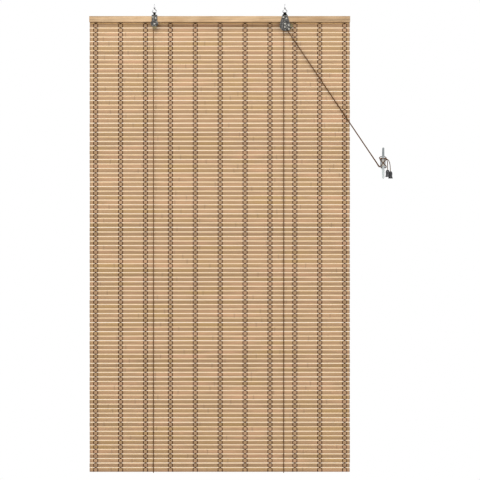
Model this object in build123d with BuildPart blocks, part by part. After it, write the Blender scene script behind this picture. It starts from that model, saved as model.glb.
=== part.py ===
"""A bamboo roll up blind on two ceiling hooks, with its cord lock, lift cords, knobs and wall cleat.

The origin lies on the ceiling, midway between the two hooks. X runs along the blind, Z points up,
and the room side of the blind faces -Y. Sizes are in millimetres and angles in degrees.
"""

import os
from math import acos, atan2, cos, hypot, radians, sin, tan

from build123d import *

os.makedirs("parts", exist_ok=True)

# General
cut_overrun = 1.0
air = 0.3
fit = 0.02
running_fit = 0.05

# Ceiling hooks
hook_spacing = 400.0
hook_drop = 11.5
hook_ring_radius = 6.1
hook_wire_radius = 1.3
hook_mouth_angle = 48.0
hook_collar_radius = 2.8
hook_collar_height = 2.0
hook_thread_radius = 1.7
hook_thread_length = 12.0
hook_tip_length = 3.0
hook_tip_taper = 25.0

# Sheet metal of the two hangers
sheet = 1.2
brass_sheet = 1.0
eye_inner_radius = 2.5
eye_width = 7.0
eye_drop = 17.15
plate_top_drop = 21.8
plate_bottom_drop = 50.0
plate_corner_radius = 1.5

# Head rail
rail_length = 800.0
rail_height = 18.0
rail_depth = 14.0
rail_top_drop = 25.5
rail_edge_radius = 1.0

# Slat mat
slat_count = 100
slat_pitch = 13.92
slat_height = 13.0
slat_thickness = 1.8
slat_edge_bevel = 0.6
slat_edge_fall = 1.9
top_slat_overlap = 9.2

# Warp threads
warp_columns = 11
warp_edge_margin = 16.2
warp_spread = 12.2
strand_width = 2.2
strand_thickness = 0.8

# Staples in the back of the rail
staple_wire = 0.9
staple_crown = 11.0
staple_depth = 7.0
staple_column_shares = [-4.5, -1.5, -0.5, 0.5, 1.5, 4.5]
staple_drop = 38.0

# Cords
cord_radius = 1.2
cord_sides = 8
cord_end_drop = 30.0
exit_run = 6.0
arc_share = 0.45

# Grooved wheels, their axles and the other rivets
wheel_radius = 5.1
wheel_root_radius = 2.2
wheel_width = 4.6
wheel_gap = 0.8
wheel_bore_radius = 1.3
groove_rim_width = 3.7
groove_root_width = 2.4
upper_axle_drop = 49.1
lower_axle_drop = 59.4
shoulder_radius = 2.2
rivet_head_radius = 2.9
rivet_head_height = 1.1
rivet_tail_radius = 2.1
rivet_tail_height = 0.6
dome_share = 0.7

# Left hanger
left_plate_width = 17.5
left_lobe_width = 23.3
left_lobe_height = 16.4
left_lobe_bottom_drop = 57.0
left_lobe_radius = 7.0
left_rivet_drop = 49.4
yoke_width = 13.0
yoke_rail_gap = 0.5

# Right hanger and cord lock
right_plate_width = 16.4
right_lobe_radius = 15.6
right_lobe_offset = 0.9
right_lobe_drop = 55.3
lock_offset = 11.7
cam_pivot_drop = 53.4
post_drop = 65.1
post_radius = 4.3
lock_ear_radius = 4.6
back_ear_radius = 5.0
wing_reach = 19.5
wing_radius = 5.4
cam_grip_radius = 5.8
cam_heel_radius = 4.2
cam_tooth_depth = 0.8
cam_teeth = 6
cam_grip_start = 150.0
cam_grip_sweep = 78.0
cam_tail_length = 11.5
cam_tail_width = 4.4
cam_tail_angle = -28.0
anvil_offset = 2.4
anvil_width = 0.7
anvil_height = 7.0
anvil_top_drop = 55.6

# Hanger screws
screw_offset = 4.3
screw_upper_drop = 29.2
screw_lower_drop = 32.5
screw_head_radius = 2.6
screw_head_height = 1.5
screw_shank_radius = 1.25
screw_length = 10.0
slot_width = 0.7
slot_depth = 0.6
slot_turn = 35.0

# Cleat on the wall
cleat_x = 501.6
cleat_drop = 476.3
wall_y = 20.0
cleat_length = 95.4
cleat_reach = 22.0
cleat_horn_lift = 3.5
cleat_bar_thickness = 6.0
cleat_tip_thickness = 4.4
cleat_bar_width = 8.4
cleat_tip_width = 6.4
cleat_neck_width = 8.0
cleat_neck_height = 24.0
cleat_base_width = 16.6
cleat_base_height = 36.0
cleat_base_thickness = 3.0
cleat_edge_radius = 1.1
cleat_screw_spacing = 14.0
cleat_screw_radius = 1.75
cleat_shank_radius = 1.6
cleat_screw_head_radius = 3.3
cleat_screw_cone_height = 2.0
cleat_screw_length = 42.0
cleat_screw_tip_length = 4.0
cleat_screw_tip_taper = 20.0
cleat_screw_sink = 0.6

# Cord knobs
knob_height = 21.6
knob_mouth_radius = 7.0
knob_neck_radius = 3.6
knob_waist_radius = 5.6
knob_lip_height = 1.4
knob_bore_radius = 1.35
knob_shoulder_sweep = 14.0
knob_flare_sweep = 18.0
knob_cup_radius = 5.2
knob_cup_depth = 8.4
knot_radius = 2.7
knot_height = 4.0
left_knob_offset = 13.4
left_knob_y = 1.8
left_knob_drop = 21.0
right_knob_offset = 22.9
right_knob_y = 12.4
right_knob_drop = 25.3

# Places that follow from the sizes above
left_x = -hook_spacing / 2
right_x = hook_spacing / 2
hook_xs = [left_x, right_x]
ring_z = -hook_drop
plate_back = -eye_inner_radius
plate_front = plate_back - sheet
rail_front = plate_back
rail_back = rail_front + rail_depth
rail_top = -rail_top_drop
rail_bottom = rail_top - rail_height
mat_front = rail_back
mat_back = mat_front + slat_thickness
mat_top = rail_bottom + top_slat_overlap
mat_bottom = mat_top - slat_pitch * (slat_count - 2) - 2 * slat_height
wheel_pitch_radius = wheel_root_radius + air + cord_radius
axle_radius = wheel_bore_radius - running_fit
cheek_back = plate_back + brass_sheet
front_wheel_y = cheek_back + air + wheel_width / 2
yoke_rear_front = front_wheel_y + wheel_width / 2 + air
rear_wheel_y = front_wheel_y + wheel_width + wheel_gap
lock_back_front = rear_wheel_y + wheel_width / 2 + air
lock_back_back = lock_back_front + brass_sheet
upper_axle_z = -upper_axle_drop
lower_axle_z = -lower_axle_drop
lock_x = right_x + lock_offset
cam_pivot_z = -cam_pivot_drop
post_z = -post_drop
column_span = rail_length - 2 * warp_edge_margin
column_pitch = column_span / (warp_columns - 1)
column_xs = [column_pitch * i - column_span / 2 for i in range(warp_columns)]
carrier_x = (column_span + warp_spread) / 2
cord_xs = [x - wheel_pitch_radius for x in hook_xs]
front_cord_y = mat_front - air - cord_radius
back_cord_y = mat_back + air + cord_radius
mat_staple_xs = [column_pitch * share for share in staple_column_shares]
cord_staple_crown = 2 * (cord_radius + air) + staple_wire
leg_xs = [x + side * staple_crown / 2 for x in mat_staple_xs for side in (-1, 1)]
leg_xs += [x + side * cord_staple_crown / 2 for x in cord_xs for side in (-1, 1)]
screw_places = []
for x in hook_xs:
    screw_places.append((x - screw_offset, -screw_upper_drop))
    screw_places.append((x + screw_offset, -screw_lower_drop))
cleat_z = -cleat_drop
cleat_front = wall_y - cleat_reach
cleat_seat = cleat_front + cleat_horn_lift + cleat_screw_sink
cleat_screw_zs = [cleat_z + side * cleat_screw_spacing / 2 for side in (-1, 1)]


def facing(y):
    """The upright plane at depth y, seen from the room, with X to the right and Z up."""
    return Plane.XZ.offset(-y)


def save(piece, name):
    """Label a finished piece and write its STEP file."""
    piece.part.label = name
    export_step(piece.part, f"parts/{name}.step")


def disc(x, z, radius, y_front, y_back):
    """Add a round disc on an axis along Y to the part being built."""
    with BuildSketch(facing(y_back)) as outline:
        with Locations((x, z)):
            Circle(radius)
    extrude(outline.sketch, amount=y_back - y_front)


def bore(x, z, radius, y_front, y_back):
    """Cut a round hole along Y that starts and ends at the given depths."""
    with BuildSketch(facing(y_back)) as outline:
        with Locations((x, z)):
            Circle(radius)
    extrude(outline.sketch, amount=y_back - y_front, mode=Mode.SUBTRACT)


def drill(x, z, radius, y_front, y_back):
    """Cut a round hole along Y that runs past both of the given depths."""
    bore(x, z, radius, y_front - cut_overrun, y_back + cut_overrun)


def rivet(x, z, head_radius, head_seat, steps):
    """A rivet along Y: a domed head, the steps (front, back, radius) of its shank and a flat tail."""
    with BuildPart() as piece:
        disc(x, z, head_radius, head_seat - rivet_head_height, head_seat)
        fillet(piece.edges().group_by(Axis.Y)[0], rivet_head_height * dome_share)
        for y_front, y_back, radius in steps:
            disc(x, z, radius, y_front, y_back)
        tail_front = steps[-1][1]
        disc(x, z, rivet_tail_radius, tail_front, tail_front + rivet_tail_height)
    return piece


def wheel(x, y, z):
    """A grooved wheel that turns on an axle along Y."""
    half = wheel_width / 2
    with BuildPart() as piece:
        with BuildSketch(Plane.XY.offset(z)):
            with BuildLine():
                Polyline(
                    (x + wheel_bore_radius, y - half),
                    (x + wheel_radius, y - half),
                    (x + wheel_radius, y - groove_rim_width / 2),
                    (x + wheel_root_radius, y - groove_root_width / 2),
                    (x + wheel_root_radius, y + groove_root_width / 2),
                    (x + wheel_radius, y + groove_rim_width / 2),
                    (x + wheel_radius, y + half),
                    (x + wheel_bore_radius, y + half),
                    close=True,
                )
            make_face()
        revolve(axis=Axis((x, y, z), (0, 1, 0)))
    return piece


def hanger_top(x, width):
    """Draw the tab under a hanger's eye and the stretch of plate that is screwed to the rail."""
    tab_bottom_drop = plate_top_drop + plate_corner_radius
    with Locations((x, -(eye_drop + tab_bottom_drop) / 2)):
        Rectangle(eye_width, tab_bottom_drop - eye_drop)
    with Locations((x, -(plate_top_drop + plate_bottom_drop) / 2)):
        RectangleRounded(width, plate_bottom_drop - plate_top_drop, plate_corner_radius)


def eye(x):
    """Roll the top of a hanger's tab back over the ring of its hook, for three quarters of a turn."""
    outer_radius = eye_inner_radius + sheet
    with BuildSketch(Plane.YZ.offset(x - eye_width / 2)) as outline:
        with Locations((0, -eye_drop)):
            Circle(outer_radius)
            Circle(eye_inner_radius, mode=Mode.SUBTRACT)
            Rectangle(outer_radius, outer_radius, align=(Align.MAX, Align.MAX), mode=Mode.SUBTRACT)
    extrude(outline.sketch, amount=eye_width)


def strand(x, y_front, top):
    """Add one straight warp strand, from its top down to the bottom of the mat."""
    with BuildSketch(facing(y_front + strand_thickness)) as outline:
        with Locations((x, (top + mat_bottom) / 2)):
            Rectangle(strand_width, top - mat_bottom)
    extrude(outline.sketch, amount=strand_thickness)


def staple(x, crown, crown_front):
    """Add a staple with a level crown and two legs that run forward into the rail."""
    with BuildSketch(facing(crown_front + staple_wire)) as crown_outline:
        with Locations((x, -staple_drop)):
            Rectangle(crown + staple_wire, staple_wire)
    extrude(crown_outline.sketch, amount=staple_wire)
    with BuildSketch(facing(crown_front)) as leg_outline:
        with Locations((x - crown / 2, -staple_drop), (x + crown / 2, -staple_drop)):
            Rectangle(staple_wire, staple_wire)
    extrude(leg_outline.sketch, amount=crown_front - rail_back + staple_depth)


def staple_holes():
    """Cut the holes of all staple legs in the rail or the top slat."""
    hole = staple_wire + 2 * fit
    with BuildSketch(facing(mat_back + cut_overrun)) as outline:
        with Locations(*[(x, -staple_drop) for x in leg_xs]):
            Rectangle(hole, hole)
    depth = mat_back + cut_overrun - rail_back + staple_depth + fit
    extrude(outline.sketch, amount=depth, mode=Mode.SUBTRACT)


def cone_outline(seat, clearance):
    """Half the outline of a countersunk head that is seated at the given depth, for a revolve."""
    rim = cleat_x + cleat_screw_head_radius + clearance
    shank = cleat_x + cleat_screw_radius + clearance
    return [(cleat_x, seat), (rim, seat), (shank, seat + cleat_screw_cone_height),
            (cleat_x, seat + cleat_screw_cone_height)]


def cord(points, radii, knot_top=None):
    """A cord along straight runs that are joined by tangent arcs, and the knot at its end if it has one."""
    with BuildPart() as piece:
        with BuildLine() as route:
            FilletPolyline(*points, radius=radii)
        with BuildSketch(Plane(origin=route.line @ 0, z_dir=route.line % 0)):
            RegularPolygon(cord_radius, cord_sides)
        sweep(path=route.line)
        tube_volume = piece.part.volume
        if knot_top is not None:
            with BuildSketch(Plane.XY.offset(knot_top - knot_height)):
                with Locations(points[-1][:2]):
                    RegularPolygon(knot_radius, cord_sides)
            extrude(amount=knot_height)
    section = cord_sides * cord_radius**2 * sin(radians(360 / cord_sides)) / 2
    length = route.wire().length
    share = tube_volume / (section * length)
    print("cord length", round(length), "volume share", round(share, 4))
    print("cord radii", [round(radius, 1) for radius in radii])
    return piece


def tangent_angle(start, end, offset):
    """The heading, in X and Z, of a line that passes start on one side and end on the other, offset in all."""
    run_x = end[0] - start[0]
    run_z = end[1] - start[1]
    return atan2(run_z, run_x) + acos(offset / hypot(run_x, run_z)) - radians(90)


def crossing(first, first_angle, second, second_angle):
    """Where two lines in X and Z meet, each given by a point and a heading."""
    step_x = second[0] - first[0]
    step_z = second[1] - first[1]
    turn = sin(second_angle - first_angle)
    reach = (step_x * sin(second_angle) - step_z * cos(second_angle)) / turn
    return first[0] + reach * cos(first_angle), first[1] + reach * sin(first_angle)


def lock_corners(axle_z, target):
    """The two corners of a cord that comes over a wheel and turns round the guide post towards its target."""
    down_angle = tangent_angle((right_x, axle_z), (lock_x, post_z), wheel_pitch_radius + post_arc)
    down_x = right_x - wheel_pitch_radius * sin(down_angle)
    down_z = axle_z + wheel_pitch_radius * cos(down_angle)
    off_angle = 2 * radians(90) + tangent_angle(target, (lock_x, post_z), -post_arc)
    over = crossing((right_x, axle_z + wheel_pitch_radius), 0, (down_x, down_z), down_angle)
    under = crossing((down_x, down_z), down_angle, target, off_angle)
    return over, under


def free_radii(points):
    """The largest arcs that the runs of a free cord leave room for, one for each corner."""
    radii = []
    for before, here, after in zip(points, points[1:], points[2:]):
        run_in = Vector(*here) - Vector(*before)
        run_out = Vector(*after) - Vector(*here)
        half_turn = radians(run_in.get_angle(run_out) / 2)
        radii.append(arc_share * min(run_in.length, run_out.length) / tan(half_turn))
    return radii


# Ceiling hooks
with BuildPart() as ceiling_hooks:
    for x in hook_xs:
        with BuildSketch(Plane.YZ.offset(x)):
            with Locations((0, ring_z + hook_ring_radius)):
                Circle(hook_wire_radius)
        revolve(axis=Axis((x, 0, ring_z), (0, 1, 0)), revolution_arc=360 - hook_mouth_angle)
        tip_x = x - hook_ring_radius * sin(radians(hook_mouth_angle))
        tip_z = ring_z + hook_ring_radius * cos(radians(hook_mouth_angle))
        with Locations((tip_x, 0, tip_z)):
            Sphere(hook_wire_radius)
        with BuildSketch(Plane.XY.offset(ring_z + hook_ring_radius)):
            with Locations((x, 0)):
                Circle(hook_wire_radius)
        extrude(amount=hook_drop - hook_ring_radius)
        with BuildSketch(Plane.XY.offset(-hook_collar_height)):
            with Locations((x, 0)):
                Circle(hook_collar_radius)
        extrude(amount=hook_collar_height)
        with BuildSketch(Plane.XY):
            with Locations((x, 0)):
                Circle(hook_thread_radius)
        extrude(amount=hook_thread_length - hook_tip_length)
        with BuildSketch(Plane.XY.offset(hook_thread_length - hook_tip_length)):
            with Locations((x, 0)):
                Circle(hook_thread_radius)
        extrude(amount=hook_tip_length, taper=hook_tip_taper)
save(ceiling_hooks, "ceiling_hooks")

# Head rail
with BuildPart() as head_rail:
    with BuildSketch(Plane.YZ.offset(-rail_length / 2)):
        with Locations((rail_front + rail_depth / 2, rail_top - rail_height / 2)):
            RectangleRounded(rail_depth, rail_height, rail_edge_radius)
    extrude(amount=rail_length)
    for x, z in screw_places:
        bore(x, z, screw_shank_radius + fit, plate_front, plate_front + screw_length + fit)
    staple_holes()
save(head_rail, "head_rail")

# Slat mat, with the outer back strands of its two edge columns as the carriers of the slats.
# The top slat, behind the rail, sits tight on the next one
slat_outline = [
    (mat_front + slat_edge_bevel, slat_height / 2),
    (mat_front, slat_height / 2 - slat_edge_fall),
    (mat_front, slat_edge_fall - slat_height / 2),
    (mat_front + slat_edge_bevel, -slat_height / 2),
    (mat_back, -slat_height / 2),
    (mat_back, slat_height / 2),
]
second_slat_z = mat_top - slat_height - slat_height / 2
slat_places = [(0, second_slat_z - slat_pitch * i) for i in range(slat_count - 1)]
slat_places.append((0, mat_top - slat_height / 2))
with BuildPart() as slat_mat:
    with BuildSketch(Plane.YZ.offset(-rail_length / 2)):
        with Locations(*slat_places):
            Polygon(*slat_outline, align=None)
    extrude(amount=rail_length)
    for x in (-carrier_x, carrier_x):
        strand(x, mat_back, mat_top)
    staple_holes()
save(slat_mat, "slat_mat")

# Warp threads, two strands in front of the slats and two behind
for i, column_x in enumerate(column_xs):
    with BuildPart() as warp_thread:
        for x in (column_x - warp_spread / 2, column_x + warp_spread / 2):
            strand(x, mat_front - strand_thickness, rail_bottom - air)
            if abs(abs(x) - carrier_x) > strand_width:
                strand(x, mat_back, mat_top)
    save(warp_thread, f"warp_thread_{i + 1:02d}")

# Staples that hold the top slat, and staples over the ends of the lift cords
with BuildPart() as mat_staples:
    for x in mat_staple_xs:
        staple(x, staple_crown, mat_back)
save(mat_staples, "mat_staples")

with BuildPart() as cord_staples:
    for x in cord_xs:
        staple(x, cord_staple_crown, back_cord_y + cord_radius + air)
save(cord_staples, "cord_staples")

# Left hanger plate
with BuildPart() as left_hanger:
    with BuildSketch(facing(plate_back)):
        hanger_top(left_x, left_plate_width)
        with Locations((left_x, left_lobe_height / 2 - left_lobe_bottom_drop)):
            RectangleRounded(left_lobe_width, left_lobe_height, left_lobe_radius)
    extrude(amount=sheet)
    eye(left_x)
    for x, z in screw_places[:2]:
        drill(x, z, screw_shank_radius + fit, plate_front, plate_back)
    drill(left_x, -left_rivet_drop, axle_radius + fit, plate_front, plate_back)
save(left_hanger, "left_hanger")

# Left yoke, a folded strip with the wheel between its cheeks
yoke_top = rail_bottom - yoke_rail_gap
with BuildPart() as left_yoke:
    for y_front in (plate_back, yoke_rear_front):
        with BuildSketch(facing(y_front + brass_sheet)):
            with Locations((left_x, (yoke_top + lower_axle_z) / 2)):
                Rectangle(yoke_width, yoke_top - lower_axle_z)
            with Locations((left_x, lower_axle_z)):
                Circle(yoke_width / 2)
        extrude(amount=brass_sheet)
    with BuildSketch(Plane.XY.offset(yoke_top - brass_sheet)):
        with Locations((left_x, (plate_back + yoke_rear_front + brass_sheet) / 2)):
            Rectangle(yoke_width, yoke_rear_front + brass_sheet - plate_back)
    extrude(amount=brass_sheet)
    drill(left_x, lower_axle_z, axle_radius + fit, plate_back, yoke_rear_front + brass_sheet)
    drill(left_x, -left_rivet_drop, axle_radius + fit, plate_back, cheek_back - cut_overrun)
save(left_yoke, "left_yoke")

left_yoke_rivet = rivet(left_x, -left_rivet_drop, rivet_head_radius, plate_front,
                        [(plate_front, cheek_back, axle_radius)])
save(left_yoke_rivet, "left_yoke_rivet")
left_axle = rivet(left_x, lower_axle_z, rivet_tail_radius, plate_back,
                  [(plate_back, yoke_rear_front + brass_sheet, axle_radius)])
save(left_axle, "left_axle")
left_wheel = wheel(left_x, front_wheel_y, lower_axle_z)
save(left_wheel, "left_wheel")

# Right hanger plate
lobe_circles = [
    (right_x - right_lobe_offset, -right_lobe_drop, right_lobe_radius),
    (lock_x, cam_pivot_z, lock_ear_radius),
    (lock_x, post_z, lock_ear_radius),
]
right_rivet_places = [
    (right_x, upper_axle_z),
    (right_x, lower_axle_z),
    (lock_x, cam_pivot_z),
    (lock_x, post_z),
]
with BuildPart() as right_hanger:
    with BuildSketch(facing(plate_back)):
        hanger_top(right_x, right_plate_width)
        with BuildLine():
            for x, z, radius in lobe_circles:
                CenterArc((x, z), radius, 0, 360)
        make_hull()
    extrude(amount=sheet)
    eye(right_x)
    for x, z in screw_places[2:]:
        drill(x, z, screw_shank_radius + fit, plate_front, plate_back)
    for x, z in right_rivet_places:
        drill(x, z, axle_radius + fit, plate_front, plate_back)
save(right_hanger, "right_hanger")

# Back plate of the cord lock, with the folded tab that the cam squeezes the rear cord against
back_circles = [
    (right_x, upper_axle_z, back_ear_radius),
    (right_x, lower_axle_z, back_ear_radius),
    (right_x + wing_reach, cam_pivot_z, wing_radius),
    (lock_x, post_z, back_ear_radius),
]
with BuildPart() as lock_back_plate:
    with BuildSketch(facing(lock_back_back)):
        with BuildLine():
            for x, z, radius in back_circles:
                CenterArc((x, z), radius, 0, 360)
        make_hull()
    extrude(amount=brass_sheet)
    with BuildSketch(facing(lock_back_front)):
        with Locations((right_x + anvil_offset + anvil_width / 2, -anvil_top_drop - anvil_height / 2)):
            Rectangle(anvil_width, anvil_height)
    extrude(amount=wheel_width)
    for x, z in right_rivet_places:
        drill(x, z, axle_radius + fit, lock_back_front, lock_back_back)
save(lock_back_plate, "lock_back_plate")

# Rivets of the right unit
front_step = (plate_front, plate_back, axle_radius)
back_step = (lock_back_front, lock_back_back, axle_radius)
spacer_step = (plate_back, cheek_back, shoulder_radius)
rear_wheel_front = rear_wheel_y - wheel_width / 2
upper_axle = rivet(right_x, upper_axle_z, rivet_head_radius, plate_front,
                   [front_step,
                    (plate_back, rear_wheel_front - air, shoulder_radius),
                    (rear_wheel_front - air, lock_back_front, axle_radius),
                    back_step])
save(upper_axle, "upper_axle")
lower_axle = rivet(right_x, lower_axle_z, rivet_head_radius, plate_front,
                   [front_step,
                    spacer_step,
                    (cheek_back, rear_wheel_front, axle_radius),
                    (rear_wheel_front, lock_back_front, shoulder_radius),
                    back_step])
save(lower_axle, "lower_axle")
cam_pivot = rivet(lock_x, cam_pivot_z, rivet_head_radius, plate_front,
                  [front_step,
                   spacer_step,
                   (cheek_back, lock_back_front, axle_radius),
                   back_step])
save(cam_pivot, "cam_pivot")
guide_post = rivet(lock_x, post_z, rivet_head_radius, plate_front,
                   [front_step,
                    (plate_back, lock_back_front, post_radius),
                    back_step])
save(guide_post, "guide_post")

# Wheels of the right unit
upper_wheel = wheel(right_x, rear_wheel_y, upper_axle_z)
save(upper_wheel, "upper_wheel")
lower_wheel = wheel(right_x, front_wheel_y, lower_axle_z)
save(lower_wheel, "lower_wheel")

# Lock cam, with saw teeth towards the cords and a finger tail on the other side
cam_outline = [(lock_x, cam_pivot_z)]
for i in range(cam_teeth):
    tip_angle = radians(cam_grip_start + cam_grip_sweep * (i + 1) / cam_teeth)
    root_angle = radians(cam_grip_start + cam_grip_sweep * i / cam_teeth)
    tip_radius = cam_heel_radius + (cam_grip_radius - cam_heel_radius) * (i + 1) / cam_teeth
    root_radius = tip_radius - cam_tooth_depth
    cam_outline.append((lock_x + root_radius * cos(root_angle), cam_pivot_z + root_radius * sin(root_angle)))
    cam_outline.append((lock_x + tip_radius * cos(tip_angle), cam_pivot_z + tip_radius * sin(tip_angle)))
tail_x = lock_x + cam_tail_length / 2 * cos(radians(cam_tail_angle))
tail_z = cam_pivot_z + cam_tail_length / 2 * sin(radians(cam_tail_angle))
with BuildPart() as lock_cam:
    with BuildSketch(facing(lock_back_front - air)):
        with Locations((lock_x, cam_pivot_z)):
            Circle(cam_heel_radius)
        with BuildLine():
            Polyline(*cam_outline, close=True)
        make_face()
        with Locations((tail_x, tail_z)):
            SlotCenterToCenter(cam_tail_length, cam_tail_width, rotation=cam_tail_angle)
        with Locations((lock_x, cam_pivot_z)):
            Circle(wheel_bore_radius, mode=Mode.SUBTRACT)
    extrude(amount=lock_back_front - air - (cheek_back + air))
save(lock_cam, "lock_cam")

# Screws of the two hangers
with BuildPart() as hanger_screws:
    for x, z in screw_places:
        disc(x, z, screw_head_radius, plate_front - screw_head_height, plate_front)
    fillet(hanger_screws.edges().group_by(Axis.Y)[0], screw_head_height / 2)
    for x, z in screw_places:
        disc(x, z, screw_shank_radius, plate_front, plate_front + screw_length)
    with BuildSketch(facing(plate_front - screw_head_height + slot_depth)):
        with Locations(*screw_places):
            Rectangle(2 * screw_head_radius, slot_width, rotation=slot_turn)
    extrude(amount=slot_depth + cut_overrun, mode=Mode.SUBTRACT)
save(hanger_screws, "hanger_screws")

# Cleat, one casting: a bar with two horns, its neck and the base on the wall
horn_z = cleat_length / 2
cleat_middle = cleat_front + cleat_horn_lift
with BuildPart() as cleat:
    with BuildSketch(Plane.YZ.offset(cleat_x - cleat_bar_width)):
        with BuildLine():
            front_edge = ThreePointArc((cleat_front, cleat_z + horn_z), (cleat_middle, cleat_z),
                                       (cleat_front, cleat_z - horn_z))
            back_edge = ThreePointArc((cleat_front + cleat_tip_thickness, cleat_z + horn_z),
                                      (cleat_middle + cleat_bar_thickness, cleat_z),
                                      (cleat_front + cleat_tip_thickness, cleat_z - horn_z))
            Line(front_edge @ 0, back_edge @ 0)
            Line(front_edge @ 1, back_edge @ 1)
        make_face()
    extrude(amount=2 * cleat_bar_width)
    with BuildSketch(facing(wall_y)):
        with BuildLine():
            CenterArc((cleat_x, cleat_z), cleat_bar_width / 2, 0, 360)
            CenterArc((cleat_x, cleat_z + horn_z - cleat_tip_width / 2), cleat_tip_width / 2, 0, 360)
            CenterArc((cleat_x, cleat_z - horn_z + cleat_tip_width / 2), cleat_tip_width / 2, 0, 360)
        make_hull()
    extrude(amount=2 * cleat_reach, mode=Mode.INTERSECT)
    fillet(cleat.edges(), cleat_edge_radius)
    with BuildSketch(facing(wall_y)):
        with Locations((cleat_x, cleat_z)):
            SlotOverall(cleat_neck_height, cleat_neck_width, rotation=90)
    extrude(amount=wall_y - cleat_middle - cleat_bar_thickness / 2)
    with BuildSketch(facing(wall_y)):
        with Locations((cleat_x, cleat_z)):
            SlotOverall(cleat_base_height, cleat_base_width, rotation=90)
    extrude(amount=cleat_base_thickness)
    for z in cleat_screw_zs:
        drill(cleat_x, z, cleat_screw_radius + fit, cleat_front, wall_y)
        cone_cut = Axis((cleat_x, cleat_seat, z), (0, 1, 0))
        with BuildSketch(Plane.XY.offset(z)):
            with BuildLine():
                Polyline(*cone_outline(cleat_seat, fit), close=True)
            make_face()
        revolve(axis=cone_cut, mode=Mode.SUBTRACT)
        drill(cleat_x, z, cleat_screw_head_radius + fit, cleat_front - cleat_reach, cleat_seat - cut_overrun)
save(cleat, "cleat")

with BuildPart() as cleat_screws:
    for z in cleat_screw_zs:
        with BuildSketch(Plane.XY.offset(z)):
            with BuildLine():
                Polyline(*cone_outline(cleat_seat, 0), close=True)
            make_face()
        revolve(axis=Axis((cleat_x, cleat_seat, z), (0, 1, 0)))
        disc(cleat_x, z, cleat_shank_radius, cleat_seat, wall_y)
        tip_seat = cleat_seat + cleat_screw_length - cleat_screw_tip_length
        disc(cleat_x, z, cleat_screw_radius, wall_y, tip_seat)
        with BuildSketch(Plane.ZX.offset(tip_seat)):
            with Locations((z, cleat_x)):
                Circle(cleat_screw_radius)
        extrude(amount=cleat_screw_tip_length, taper=cleat_screw_tip_taper)
    with BuildSketch(facing(cleat_seat + slot_depth)):
        with Locations(*[(cleat_x, z) for z in cleat_screw_zs]):
            Rectangle(2 * cleat_screw_head_radius, slot_width, rotation=slot_turn)
    extrude(amount=slot_depth + cut_overrun, mode=Mode.SUBTRACT)
save(cleat_screws, "cleat_screws")

# Cord knobs, bells with the knot of the cord inside
def knob(x, y, top):
    """A bell on an upright axis, with a bore for its cord and a cup for the knot."""
    mouth = top - knob_height
    lip = mouth + knob_lip_height
    waist = top - knob_height / 2
    with BuildPart() as piece:
        with BuildSketch(facing(y)):
            with BuildLine():
                Line((x + knob_bore_radius, top), (x + knob_neck_radius, top))
                shoulder = RadiusArc((x + knob_neck_radius, top), (x + knob_waist_radius, waist),
                                     knob_shoulder_sweep)
                flare = RadiusArc(shoulder @ 1, (x + knob_mouth_radius, lip), -knob_flare_sweep)
                Polyline(
                    flare @ 1,
                    (x + knob_mouth_radius, mouth),
                    (x + knob_cup_radius, mouth),
                    (x + knob_cup_radius, mouth + knob_cup_depth),
                    (x + knob_bore_radius, mouth + knob_cup_depth),
                    (x + knob_bore_radius, top),
                )
            make_face()
        revolve(axis=Axis((x, y, top), (0, 0, 1)))
    return piece


left_knob_x = cleat_x + left_knob_offset
right_knob_x = cleat_x + right_knob_offset
left_knob_top = cleat_z - left_knob_drop
right_knob_top = cleat_z - right_knob_drop
left_knob = knob(left_knob_x, left_knob_y, left_knob_top)
save(left_knob, "left_knob")
right_knob = knob(right_knob_x, right_knob_y, right_knob_top)
save(right_knob, "right_knob")

# Lift cords, from the back of the rail, under the mat, up its front and over the wheels
hem_z = mat_bottom - (back_cord_y - front_cord_y) / 2
hem_radius = (back_cord_y - front_cord_y) / 2 - fit
post_arc = post_radius + air + cord_radius

# Turns of the pull cords round the cleat, from the middle of the cleat in X and Z
left_turns = [
    (-10.5, 8.3, -11.5),
    (8.0, 10.5, -15.5),
    (10.5, 4.0, -10.5),
    (6.5, -1.8, -6.5),
    (-6.5, -1.8, 6.5),
    (-10.5, 4.0, 10.5),
    (-8.0, 11.0, 15.5),
    (7.5, 10.5, 16.5),
    (13.0, 5.5, 8.0),
    (13.4, 1.8, -9.0),
]
right_turns = [
    (-18.7, 10.9, -0.2),
    (-13.2, 10.5, -13.8),
    (-9.5, -2.0, -10.0),
    (-5.0, -4.6, -5.5),
    (5.0, -4.6, 6.5),
    (10.5, 3.0, 12.5),
    (8.0, 14.0, 20.5),
    (-8.0, 14.4, 20.5),
    (-13.0, 7.0, 15.0),
    (-7.0, -3.6, 12.5),
    (6.0, -4.6, 14.0),
    (17.0, 3.0, 10.0),
    (22.9, 12.4, -8.0),
]
left_turn_points = [(cleat_x + x, y, cleat_z + z) for x, y, z in left_turns]
right_turn_points = [(cleat_x + x, y, cleat_z + z) for x, y, z in right_turns]

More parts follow.
